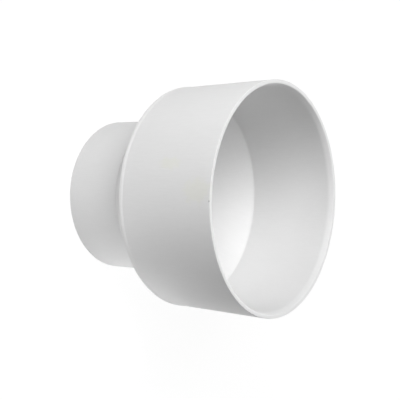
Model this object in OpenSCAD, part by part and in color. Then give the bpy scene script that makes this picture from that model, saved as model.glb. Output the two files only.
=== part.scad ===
// Reducing adapter coupling for plastic drain and vent pipe.
// One moulded piece: a wide socket, a conical shoulder with a funnel inside, and a narrow socket.
// It stands on the end of its narrow socket. Z runs along the axis of the pipes, towards the wide mouth.

/* [Wide socket] */
// Bore of the wide socket, which takes a 160 mm pipe
wide_bore_d = 160.3; // [130:0.1:200]
// Depth of the wide socket, from its mouth down to the funnel
wide_depth = 74.5; // [40:0.5:110]
// Wall of the wide socket at its mouth
wide_wall = 4.2; // [3.5:0.1:8]

/* [Narrow socket] */
// Bore of the narrow socket, which takes a 110 mm pipe
narrow_bore_d = 110.3; // [85:0.1:135]
// Depth of the narrow socket, from its end up to the pipe stop
narrow_depth = 48; // [25:1:80]
// Wall of the narrow socket at its end
narrow_wall = 4.5; // [3.5:0.1:8]

/* [Funnel] */
// Width of the pipe stop, the ledge at the bottom of the narrow socket
stop_width = 3.3; // [1:0.1:6]
// Length of the straight throat above the pipe stop
throat_length = 3; // [1:0.5:10]
// Angle between the funnel's wall and the axis
funnel_angle = 47; // [35:1:60]
// Wall of the funnel, measured square to it
funnel_wall = 4.8; // [3:0.1:8]

/* [Moulding] */
// Draft of the outer walls, which narrow from each end towards the shoulder
draft_angle = 0.6; // [0:0.1:1]
// Depth of the lead-in that guides a pipe into each socket
lead_in_depth = 4; // [2:0.5:8]
// How far each lead-in opens out, on the radius
lead_in_width = 2; // [0.5:0.1:2.2]
// Rounding where each lead-in runs into its bore
lead_in_blend = 9; // [1:1:12]
// Rounding between each lead-in and the flat of its end
lip_round = 1.2; // [0.2:0.1:1.5]
// Rounding of the outer edge at both ends
rim_round = 0.8; // [0.2:0.1:1.5]
// Rounding of the shoulder's corner
shoulder_round = 6; // [1:0.5:10]
// Fillet between the shoulder and the narrow socket
root_fillet = 2; // [0.5:0.5:5]
// Fillet inside, where the wide socket meets the funnel
funnel_fillet = 2; // [0.5:0.5:5]
// Rounding inside, where the funnel meets the throat
throat_round = 3; // [1:0.5:3]
// Rounding of the pipe stop's edge and corner
stop_round = 0.5; // [0.2:0.1:0.8]

/* [Hidden] */
$fn = 180;
// Largest turn of one segment of a rounded corner, in degrees
arc_step = 6;

wide_bore_r = wide_bore_d / 2;
wide_rim_r = wide_bore_r + wide_wall;
narrow_bore_r = narrow_bore_d / 2;
narrow_rim_r = narrow_bore_r + narrow_wall;
throat_r = narrow_bore_r - stop_width;

// Heights along the inside, from the narrow end up
stop_z = narrow_depth;
throat_z = stop_z + throat_length;
funnel_z = throat_z + (wide_bore_r - throat_r) / tan(funnel_angle);
height = funnel_z + wide_depth;

// The shoulder's cone runs beside the funnel, one wall away, on the line z = cone_z0 + r / tan(funnel_angle)
cone_z0 = throat_z - throat_r / tan(funnel_angle) - funnel_wall / sin(funnel_angle);
// What the draft takes from the radius, for each millimetre away from an end
draft = tan(draft_angle);
// Where the cone meets the drafted wall of the narrow socket, and then that of the wide one
root_z = (cone_z0 + narrow_rim_r / tan(funnel_angle)) / (1 + draft / tan(funnel_angle));
root_r = narrow_rim_r - root_z * draft;
shoulder_z = (cone_z0 + (wide_rim_r - height * draft) / tan(funnel_angle)) / (1 - draft / tan(funnel_angle));
shoulder_r = wide_rim_r - (height - shoulder_z) * draft;

// The wall's section, as corners [[radius, height], rounding], up the outside and then down the inside
section = [
    [[narrow_rim_r, 0], rim_round],
    [[root_r, root_z], root_fillet],
    [[shoulder_r, shoulder_z], shoulder_round],
    [[wide_rim_r, height], rim_round],
    [[wide_bore_r + lead_in_width, height], lip_round],
    [[wide_bore_r, height - lead_in_depth], lead_in_blend],
    [[wide_bore_r, funnel_z], funnel_fillet],
    [[throat_r, throat_z], throat_round],
    [[throat_r, stop_z], stop_round],
    [[narrow_bore_r, stop_z], stop_round],
    [[narrow_bore_r, lead_in_depth], lead_in_blend],
    [[narrow_bore_r + lead_in_width, 0], lip_round]
];

function unit(v) = v / norm(v);
function turned(v, angle) = [v.x * cos(angle) - v.y * sin(angle), v.x * sin(angle) + v.y * cos(angle)];

// Points of the arc that rounds a corner between two straight edges. The radius is held to what half of the
// shorter edge leaves room for.
function rounded_corner(before, corner, after, radius) =
    let (
        back = unit(before - corner),
        onward = unit(after - corner),
        half_angle = acos(back * onward) / 2,
        room = min(norm(before - corner), norm(after - corner)) / 2,
        reach = min(radius / tan(half_angle), room),
        centre = corner + unit(back + onward) * reach / cos(half_angle),
        first = corner + back * reach - centre,
        turn = (180 - 2 * half_angle) * sign(cross(onward, back)),
        steps = ceil(abs(turn) / arc_step)
    )
    [for (i = [0 : steps]) centre + turned(first, turn * i / steps)];

function rounded_section(corners) =
    let (count = len(corners))
    [
        for (i = [0 : count - 1])
            let (
                before = corners[(i + count - 1) % count][0],
                corner = corners[i][0],
                after = corners[(i + 1) % count][0],
                radius = corners[i][1]
            )
            each rounded_corner(before, corner, after, radius)
    ];

module coupling_body() {
    color([0.9, 0.91, 0.91])
        rotate_extrude()
            polygon(rounded_section(section));
}

coupling_body();
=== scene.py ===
import bpy
import math
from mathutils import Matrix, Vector


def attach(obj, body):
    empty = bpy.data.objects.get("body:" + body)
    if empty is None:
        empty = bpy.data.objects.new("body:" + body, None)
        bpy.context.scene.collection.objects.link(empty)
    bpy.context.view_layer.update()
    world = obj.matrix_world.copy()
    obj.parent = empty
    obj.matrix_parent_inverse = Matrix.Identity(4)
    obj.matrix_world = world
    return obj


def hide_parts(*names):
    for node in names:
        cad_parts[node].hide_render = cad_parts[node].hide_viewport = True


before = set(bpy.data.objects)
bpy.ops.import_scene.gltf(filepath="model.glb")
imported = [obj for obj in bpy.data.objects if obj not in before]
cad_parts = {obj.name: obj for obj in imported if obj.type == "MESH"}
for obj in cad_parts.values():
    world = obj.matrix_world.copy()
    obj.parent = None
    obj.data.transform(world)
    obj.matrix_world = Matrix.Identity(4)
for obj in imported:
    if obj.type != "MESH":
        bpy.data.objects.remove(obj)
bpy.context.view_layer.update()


# Coupling body: the whole fitting is one hollow moulding in white unplasticised PVC.
# It is injected round a core for each socket, so its wall is one section turned about the pipe axis, with a
# little draft outside, rounded mouths, a funnel between the sockets and a low collar at the shoulder.

# Sizes of the wall in metres, with angles in radians. The wide depth and the wide wall are a few hundredths
# of a millimetre under the nominal ones, so that the mouth stays inside the box of the coarser CAD model.
wall_sizes = {
    "Wide bore radius": 0.08015,
    "Wide depth": 0.07449,
    "Wide wall": 0.00416,
    "Narrow bore radius": 0.05515,
    "Narrow depth": 0.048,
    "Narrow wall": 0.0045,
    "Stop width": 0.0033,
    "Throat length": 0.003,
    "Funnel angle": math.radians(47),
    "Funnel wall": 0.0048,
    "Draft angle": math.radians(0.6),
    "Lead-in depth": 0.004,
    "Lead-in width": 0.0015,
    "Lead-in blend": 0.009,
    "Lip round": 0.001,
    "Rim round": 0.00025,
    "Cone angle": math.radians(43.2),
    "Shoulder round": 0.0009,
    "Collar height": 0.00038,
    "Collar length": 0.0018,
    "Collar chamfer": 0.0013,
    "Collar round": 0.0008,
    "Root fillet": 0.002,
    "Funnel fillet": 0.002,
    "Throat round": 0.003,
    "Stop round": 0.0005,
    "Facet length": 0.0035,
}
wall_counts = {"Ring segments": 288, "Corner points": 10}


def add_node(tree, kind, **settings):
    """A new node with its properties set."""
    made = tree.nodes.new(kind)
    for setting, value in settings.items():
        setattr(made, setting, value)
    return made


def feed(value, socket):
    """Gives a socket a number, or what another socket carries."""
    if isinstance(value, Value):
        value = value.socket
    if isinstance(value, bpy.types.NodeSocket):
        socket.id_data.links.new(value, socket)
    else:
        socket.default_value = value


class Value:
    """What a socket carries, so that sizes and masks can be written as formulas."""

    def __init__(self, socket):
        self.socket = socket

    def math(self, operation, *others):
        made = add_node(self.socket.id_data, "ShaderNodeMath", operation=operation)
        for value, socket in zip((self, *others), made.inputs):
            feed(value, socket)
        return Value(made.outputs["Value"])

    def __add__(self, other):
        return self.math("ADD", other)

    def __sub__(self, other):
        return self.math("SUBTRACT", other)

    def __mul__(self, other):
        return self.math("MULTIPLY", other)

    def __truediv__(self, other):
        return self.math("DIVIDE", other)


wall_tree = bpy.data.node_groups.new("turned_wall", "GeometryNodeTree")
wall_tree.is_modifier = True
wall_tree.interface.new_socket("Geometry", in_out="OUTPUT", socket_type="NodeSocketGeometry")
for name, value in wall_sizes.items():
    wall_tree.interface.new_socket(name, in_out="INPUT", socket_type="NodeSocketFloat").default_value = value
for name, value in wall_counts.items():
    wall_tree.interface.new_socket(name, in_out="INPUT", socket_type="NodeSocketInt").default_value = value
wall_tree.interface.new_socket("Material", in_out="INPUT", socket_type="NodeSocketMaterial")
given = add_node(wall_tree, "NodeGroupInput").outputs
size = {name: Value(given[name]) for name in wall_sizes}

# Heights and radii that follow from the sizes, from the narrow end up
slope = size["Funnel angle"].math("TANGENT")
draft = size["Draft angle"].math("TANGENT")
throat_radius = size["Narrow bore radius"] - size["Stop width"]
throat_height = size["Narrow depth"] + size["Throat length"]
funnel_height = throat_height + (size["Wide bore radius"] - throat_radius) / slope
full_height = funnel_height + size["Wide depth"]
wide_rim = size["Wide bore radius"] + size["Wide wall"]
narrow_rim = size["Narrow bore radius"] + size["Narrow wall"]
# The shoulder's corner lies one wall outside the funnel, where it meets the drafted wall
cone_foot = throat_height - throat_radius / slope - size["Funnel wall"] / size["Funnel angle"].math("SINE")
wall_at_foot = wide_rim - full_height * draft
shoulder_height = (cone_foot + wall_at_foot / slope) / (draft / slope * -1.0 + 1.0)
shoulder_radius = wide_rim - (full_height - shoulder_height) * draft
# The cone outside is a little steeper than the funnel, so that its wall thickens towards the root
cone_slope = size["Cone angle"].math("TANGENT")
root_height = (narrow_rim - shoulder_radius + shoulder_height * cone_slope) / (cone_slope + draft)
root_radius = narrow_rim - root_height * draft
# The collar stands a little proud of the wall, where the halves of the mould shut off
collar_radius = shoulder_radius + size["Collar height"]
collar_foot = shoulder_height + size["Collar height"] / cone_slope
collar_top = collar_foot + size["Collar length"]
chamfer_top = collar_top + size["Collar chamfer"]
chamfer_radius = wide_rim - (full_height - chamfer_top) * draft

# The section's corners as radius, height and rounding: up the outside, then down the inside
corners = [
    (narrow_rim, 0.0, size["Rim round"]),
    (root_radius, root_height, size["Root fillet"]),
    (collar_radius, collar_foot, size["Shoulder round"]),
    (collar_radius, collar_top, size["Collar round"]),
    (chamfer_radius, chamfer_top, size["Collar round"]),
    (wide_rim, full_height, size["Rim round"]),
    (size["Wide bore radius"] + size["Lead-in width"], full_height, size["Lip round"]),
    (size["Wide bore radius"], full_height - size["Lead-in depth"], size["Lead-in blend"]),
    (size["Wide bore radius"], funnel_height, size["Funnel fillet"]),
    (throat_radius, throat_height, size["Throat round"]),
    (throat_radius, size["Narrow depth"], size["Stop round"]),
    (size["Narrow bore radius"], size["Narrow depth"], size["Stop round"]),
    (size["Narrow bore radius"], size["Lead-in depth"], size["Lead-in blend"]),
    (size["Narrow bore radius"] + size["Lead-in width"], 0.0, size["Lip round"]),
]


def chosen_by_corner(data_type, values):
    """A field that gives each corner its own value."""
    switch = add_node(wall_tree, "GeometryNodeIndexSwitch", data_type=data_type)
    while len(switch.index_switch_items) < len(values):
        switch.index_switch_items.new()
    feed(add_node(wall_tree, "GeometryNodeInputIndex").outputs["Index"], switch.inputs["Index"])
    for number, value in enumerate(values):
        feed(value, switch.inputs[number + 1])
    return switch.outputs["Output"]


places = []
for radius, height, _ in corners:
    place = add_node(wall_tree, "ShaderNodeCombineXYZ")
    feed(radius, place.inputs["X"])
    feed(height, place.inputs["Y"])
    places.append(place.outputs["Vector"])
outline = add_node(wall_tree, "GeometryNodeCurvePrimitiveCircle", mode="RADIUS")
feed(len(corners), outline.inputs["Resolution"])
placed = add_node(wall_tree, "GeometryNodeSetPosition")
feed(outline.outputs["Curve"], placed.inputs["Geometry"])
feed(chosen_by_corner("VECTOR", places), placed.inputs["Position"])
rounded = add_node(wall_tree, "GeometryNodeFilletCurve", mode="POLY")
feed(placed.outputs["Geometry"], rounded.inputs["Curve"])
feed(given["Corner points"], rounded.inputs["Count"])
feed(chosen_by_corner("FLOAT", [rounding for _, _, rounding in corners]), rounded.inputs["Radius"])
feed(True, rounded.inputs["Limit Radius"])

# Long straight stretches get more points, so that smooth shading stays true along them
here = add_node(wall_tree, "GeometryNodeInputPosition")
following = add_node(wall_tree, "GeometryNodeOffsetPointInCurve")
feed(add_node(wall_tree, "GeometryNodeInputIndex").outputs["Index"], following.inputs["Point Index"])
feed(1, following.inputs["Offset"])
next_place = add_node(wall_tree, "GeometryNodeFieldAtIndex", data_type="FLOAT_VECTOR", domain="POINT")
feed(following.outputs["Point Index"], next_place.inputs["Index"])
feed(here.outputs["Position"], next_place.inputs["Value"])
step = add_node(wall_tree, "ShaderNodeVectorMath", operation="DISTANCE")
feed(here.outputs["Position"], step.inputs[0])
feed(next_place.outputs["Value"], step.inputs[1])
divided = add_node(wall_tree, "GeometryNodeSubdivideCurve")
feed(rounded.outputs["Curve"], divided.inputs["Curve"])
feed((Value(step.outputs["Value"]) / size["Facet length"]).math("FLOOR"), divided.inputs["Cuts"])

# The section is carried round a circle, and its radii are counted from that circle
turn_radius = 0.05
axis_ring = add_node(wall_tree, "GeometryNodeCurvePrimitiveCircle", mode="RADIUS")
feed(given["Ring segments"], axis_ring.inputs["Resolution"])
feed(turn_radius, axis_ring.inputs["Radius"])
shifted = add_node(wall_tree, "GeometryNodeTransform")
feed(divided.outputs["Curve"], shifted.inputs["Geometry"])
feed((-turn_radius, 0.0, 0.0), shifted.inputs["Translation"])
feed((1.0, -1.0, 1.0), shifted.inputs["Scale"])
turned = add_node(wall_tree, "GeometryNodeCurveToMesh")
feed(axis_ring.outputs["Curve"], turned.inputs["Curve"])
feed(shifted.outputs["Geometry"], turned.inputs["Profile Curve"])
outward = add_node(wall_tree, "GeometryNodeFlipFaces")
feed(turned.outputs["Mesh"], outward.inputs["Mesh"])
smooth = add_node(wall_tree, "GeometryNodeSetShadeSmooth")
feed(outward.outputs["Mesh"], smooth.inputs["Geometry"])
real = add_node(wall_tree, "GeometryNodeRealizeInstances")
feed(smooth.outputs["Geometry"], real.inputs["Geometry"])
finished = add_node(wall_tree, "GeometryNodeSetMaterial")
feed(real.outputs["Geometry"], finished.inputs["Geometry"])
feed(given["Material"], finished.inputs["Material"])
feed(finished.outputs["Geometry"], add_node(wall_tree, "NodeGroupOutput").inputs["Geometry"])

# The plastic: white PVC with a satin skin from the mould, hardly marked
plastic_ior, plastic_tone, plastic_roughness = 1.53, 0.83, 0.55
white_pvc = bpy.data.materials.new("moulded_white_pvc")
white_pvc.use_nodes = True
pvc = white_pvc.node_tree
skin = pvc.nodes["Principled BSDF"]
feed(plastic_ior, skin.inputs["IOR"])

spot = add_node(pvc, "ShaderNodeTexCoord").outputs["Object"]
axes = add_node(pvc, "ShaderNodeSeparateXYZ")
feed(spot, axes.inputs["Vector"])
x, y, z = (Value(axes.outputs[axis]) for axis in "XYZ")
from_axis = (x * x + y * y).math("SQRT")
turn = y.math("ARCTAN2", x)


def vector_of(*parts):
    """A place in the plastic's patterns, made of three values."""
    made = add_node(pvc, "ShaderNodeCombineXYZ")
    for part, socket in zip(parts, made.inputs):
        feed(part, socket)
    return made.outputs["Vector"]


def speckle(place, per_metre, detail):
    """Noise about 0, with a number of blobs to the metre."""
    made = add_node(pvc, "ShaderNodeTexNoise")
    feed(place, made.inputs["Vector"])
    feed(per_metre, made.inputs["Scale"])
    feed(detail, made.inputs["Detail"])
    return Value(made.outputs["Fac"]) - 0.5


def fade(value, full, gone):
    """1 where a value is at the first level, falling softly to 0 at the second."""
    made = add_node(pvc, "ShaderNodeMapRange", interpolation_type="SMOOTHSTEP")
    feed(value, made.inputs["Value"])
    feed(full, made.inputs["From Min"])
    feed(gone, made.inputs["From Max"])
    feed(1.0, made.inputs["To Min"])
    feed(0.0, made.inputs["To Max"])
    return Value(made.outputs["Result"])


# Flow clouds run along the pull of the mould, and a fine mottle lies over them
cloud_stretch = 0.4
clouds = speckle(vector_of(x, y, z * cloud_stretch), per_metre=28.0, detail=2.0)
mottle = speckle(spot, per_metre=210.0, detail=3.0)
# The mould's skin leaves a fine grain, and its polish leaves faint lines along the draw
grain = speckle(spot, per_metre=1700.0, detail=2.0)
line_stretch = 1.5
draw_lines = speckle(vector_of(x / from_axis, y / from_axis, z * line_stretch), per_metre=75.0, detail=3.0)

# Where the patterns' marks lie, as heights and radii of the wall
bore_radius = wall_sizes["Wide bore radius"]
outer_radius = bore_radius + wall_sizes["Wide wall"]
funnel_width = bore_radius - wall_sizes["Narrow bore radius"] + wall_sizes["Stop width"]
throat_top = wall_sizes["Narrow depth"] + wall_sizes["Throat length"]
funnel_top = throat_top + funnel_width / math.tan(wall_sizes["Funnel angle"])
wide_end_height = funnel_top + wall_sizes["Wide depth"]

# The flats of both ends are faced on a lathe, which leaves rings and a duller skin
flat_depth, flat_gone = 0.0001, 0.0006
on_wide_end = fade(z, wide_end_height - flat_depth, wide_end_height - flat_gone)
on_ends = on_wide_end + fade(z, flat_depth, flat_gone)
facing_rings = speckle(vector_of(from_axis, 0.0, 0.0), per_metre=2600.0, detail=1.0) * on_ends


def near_ring(radius, height, reach):
    """1 on a ring round the axis, falling to 0 at a reach from it."""
    sideways, along = from_axis - radius, z - height
    return fade((sideways * sideways + along * along).math("SQRT"), 0.0, reach)


# A little dust and painted crease shade darken where the funnel leaves the wide bore and at the root of the
# shoulder, where shade falls
in_funnel_corner = near_ring(bore_radius, funnel_top, reach=0.0035)
at_root = near_ring(radius=0.0591, height=0.0482, reach=0.004)
dust_and_shade_cover, dust_and_shade_patchiness = 0.8, 3.0
dust_and_crease_shade = ((in_funnel_corner + at_root) * (mottle * dust_and_shade_patchiness + dust_and_shade_cover)).math("MAXIMUM", 0.0)

# What fades out between these radii lies only on the outside of the wide socket
outside_radius, inside_radius = 0.0830, 0.0815
# How far out a patch is full and gone, as shares of its half sizes, and how ragged its edge is
patch_core, patch_edge, patch_raggedness = 0.55, 1.25, 1.5


def near_patch(turn_angle, height, half_width, half_height):
    """1 in a soft patch on the outside of the wide socket."""
    across = (turn - math.radians(turn_angle)) * (outer_radius / half_width)
    along = (z - height) / half_height
    off_centre = (across * across + along * along).math("SQRT") + mottle * patch_raggedness
    return fade(off_centre, patch_core, patch_edge) * fade(from_axis, outside_radius, inside_radius)


# Two faint yellow patches on the front of the wide socket, and one grey speck at its rim
low_patch = near_patch(turn_angle=-104.4, height=0.1163, half_width=0.0045, half_height=0.009)
rim_patch = near_patch(turn_angle=-92.5, height=0.1405, half_width=0.0085, half_height=0.0105)
yellowed = low_patch + rim_patch
speck_centre = (0.00302, -0.08428, 0.1513)
speck_core, speck_edge, speck_raggedness = 0.0003, 0.00085, 0.0006
from_speck = add_node(pvc, "ShaderNodeVectorMath", operation="DISTANCE")
feed(spot, from_speck.inputs[0])
feed(speck_centre, from_speck.inputs[1])
speck = fade(Value(from_speck.outputs["Value"]) + grain * speck_raggedness, speck_core, speck_edge)

# How much each pattern shades the tone. The speck and the yellow take a share of what is there.
# The dust tone is partly painted shade: it darkens the funnel corner and the shoulder's root as the shade in
# those creases would, besides a little dust.
cloud_shade, mottle_shade, line_shade, ring_shade, crease_shade_and_dust_tone = 0.035, 0.016, 0.034, 0.03, -0.02
speck_shade, yellow_red, yellow_blue = -0.36, -0.003, -0.045
skin_marks = clouds * cloud_shade + mottle * mottle_shade + draw_lines * line_shade
marks = skin_marks + facing_rings * ring_shade + dust_and_crease_shade * crease_shade_and_dust_tone
tone = (marks + plastic_tone) * (speck * speck_shade + 1.0)
colour = add_node(pvc, "ShaderNodeCombineColor")
feed(tone * (yellowed * yellow_red + 1.0), colour.inputs["Red"])
feed(tone, colour.inputs["Green"])
feed(tone * (yellowed * yellow_blue + 1.0), colour.inputs["Blue"])
feed(colour.outputs["Color"], skin.inputs["Base Color"])

# How much each pattern dulls the skin
cloud_dulling, mottle_dulling, end_dulling, dust_dulling = 0.10, 0.14, 0.1, 0.15
dulled = clouds * cloud_dulling + mottle * mottle_dulling + on_ends * end_dulling + dust_and_crease_shade * dust_dulling
feed(dulled + plastic_roughness, skin.inputs["Roughness"])

# How deep each pattern goes, in millimetres
millimetre = 0.001
grain_depth, mottle_depth, line_depth, ring_depth = 0.035, 0.05, 0.05, 0.05
fine_relief = grain * grain_depth + mottle * mottle_depth
relief = add_node(pvc, "ShaderNodeBump")
feed(millimetre, relief.inputs["Distance"])
feed(fine_relief + draw_lines * line_depth + facing_rings * ring_depth, relief.inputs["Height"])
feed(relief.outputs["Normal"], skin.inputs["Normal"])

coupling = bpy.data.objects.new("coupling_body_moulding", bpy.data.meshes.new("coupling_body_start"))
bpy.context.scene.collection.objects.link(coupling)
turning = coupling.modifiers.new("turning", "NODES")
turning.node_group = wall_tree
settings = {**wall_sizes, **wall_counts, "Material": white_pvc}
for item in wall_tree.interface.items_tree:
    if item.in_out == "INPUT":
        turning[item.identifier] = settings[item.name]
seen = bpy.context.evaluated_depsgraph_get()
turned_mesh = bpy.data.meshes.new_from_object(coupling.evaluated_get(seen))
coupling.modifiers.remove(turning)
coupling.data = turned_mesh
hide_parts("coupling_body")
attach(coupling, "root")


# Stage: a pale level floor that reads white to the camera and still takes the fitting's shadow
floor_half = 4.0
floor_mesh = bpy.data.meshes.new("floor")
floor_signs = ((-1, -1), (1, -1), (1, 1), (-1, 1))
floor_mesh.from_pydata([(floor_half * a, floor_half * b, 0) for a, b in floor_signs], [], [(0, 1, 2, 3)])
floor = bpy.data.objects.new("floor", floor_mesh)
bpy.context.scene.collection.objects.link(floor)
floor_paint = bpy.data.materials.new("pale_floor")
floor_paint.use_nodes = True
paint = floor_paint.node_tree
paint.nodes.clear()


def looked_at(tree):
    """1 for what the camera sees, straight, mirrored or through glass, and 0 for light that bounces."""
    rays = add_node(tree, "ShaderNodeLightPath").outputs
    straight_or_mirrored = Value(rays["Is Camera Ray"]).math("MAXIMUM", rays["Is Glossy Ray"])
    return straight_or_mirrored.math("MAXIMUM", rays["Is Transmission Ray"])


# What bounces is a mid grey. What is looked at glows white, with a thin coat that shows the shadow.
bounce_grey, glow_strength, coat_grey = 0.4, 0.93, 0.1
matt = add_node(paint, "ShaderNodeBsdfDiffuse")
feed((bounce_grey, bounce_grey, bounce_grey, 1.0), matt.inputs["Color"])
glow = add_node(paint, "ShaderNodeEmission")
feed(glow_strength, glow.inputs["Strength"])
coat = add_node(paint, "ShaderNodeBsdfDiffuse")
feed((coat_grey, coat_grey, coat_grey, 1.0), coat.inputs["Color"])
white_look = add_node(paint, "ShaderNodeAddShader")
feed(glow.outputs["Emission"], white_look.inputs[0])
feed(coat.outputs["BSDF"], white_look.inputs[1])
choice = add_node(paint, "ShaderNodeMixShader")
feed(looked_at(paint), choice.inputs["Fac"])
feed(matt.outputs["BSDF"], choice.inputs[1])
feed(white_look.outputs["Shader"], choice.inputs[2])
feed(choice.outputs["Shader"], add_node(paint, "ShaderNodeOutputMaterial").inputs["Surface"])
floor_mesh.materials.append(floor_paint)

# The room is white where it is looked at and gives no light of its own
world = bpy.data.worlds.new("white_room")
bpy.context.scene.world = world
world.use_nodes = True
room = world.node_tree.nodes["Background"]
feed((1.0, 1.0, 1.0, 1.0), room.inputs["Color"])
feed(looked_at(world.node_tree), room.inputs["Strength"])


# Lamps: large soft boxes far off and small cards close by, as in a product photographer's light tent
def soft_box(name, turn_angle, reach, aim_height, width, height, power, height_angle=0):
    """An area lamp that isn't seen itself. It faces the pipe axis at a height, from a turn about the axis,
    a distance and an angle above the level of that height."""
    lamp = bpy.data.lights.new(name, "AREA")
    lamp.shape = "RECTANGLE"
    lamp.size, lamp.size_y, lamp.energy = width, height, power
    turn_angle, height_angle = math.radians(turn_angle), math.radians(height_angle)
    flat = math.cos(height_angle)
    away = Vector((flat * math.cos(turn_angle), flat * math.sin(turn_angle), math.sin(height_angle)))
    holder = bpy.data.objects.new(name, lamp)
    holder.location = Vector((0.0, 0.0, aim_height)) + away * reach
    holder.rotation_euler = (-away).to_track_quat("-Z", "Y").to_euler()
    holder.visible_camera = False
    bpy.context.scene.collection.objects.link(holder)


far_off = {"reach": 1.2, "aim_height": 0.08, "width": 0.6}
soft_box("key", turn_angle=219, height_angle=42, height=0.9, power=8.9, **far_off)
soft_box("key_side", turn_angle=241, height_angle=46, height=0.9, power=6.2, **far_off)
soft_box("side", turn_angle=32, height_angle=46, height=0.6, power=2.4, **far_off)
soft_box("back", turn_angle=88, height_angle=8, height=0.6, power=10.0, **far_off)
soft_box("front_card", turn_angle=300, reach=0.22, aim_height=0.03, width=0.16, height=0.05, power=0.03)
soft_box("foot_card", turn_angle=345, reach=0.15, aim_height=0.02, width=0.08, height=0.03, power=0.029)
soft_box("near_card", turn_angle=285, reach=0.15, aim_height=0.02, width=0.08, height=0.03, power=0.007)
soft_box("side_card", turn_angle=0, reach=0.35, aim_height=0.07, width=0.16, height=0.12, power=0.12)


# Camera: above and in front of the mouth, turned on its side so that the pipe axis runs across the picture
film_width, focal_length = 36.0, 67.663
nearest, farthest = 0.01, 50.0
camera_place = (0.0023937, -0.4586445, 0.42892)
camera_turn = (-2.6229, -52.7137, 93.2908)
lens = bpy.data.cameras.new("camera")
lens.sensor_width = film_width
lens.lens = focal_length
lens.clip_start, lens.clip_end = nearest, farthest
camera = bpy.data.objects.new("camera", lens)
camera.location = camera_place
camera.rotation_euler = [math.radians(angle) for angle in camera_turn]
bpy.context.scene.collection.objects.link(camera)
bpy.context.scene.camera = camera
bpy.context.scene.view_settings.view_transform = "Standard"
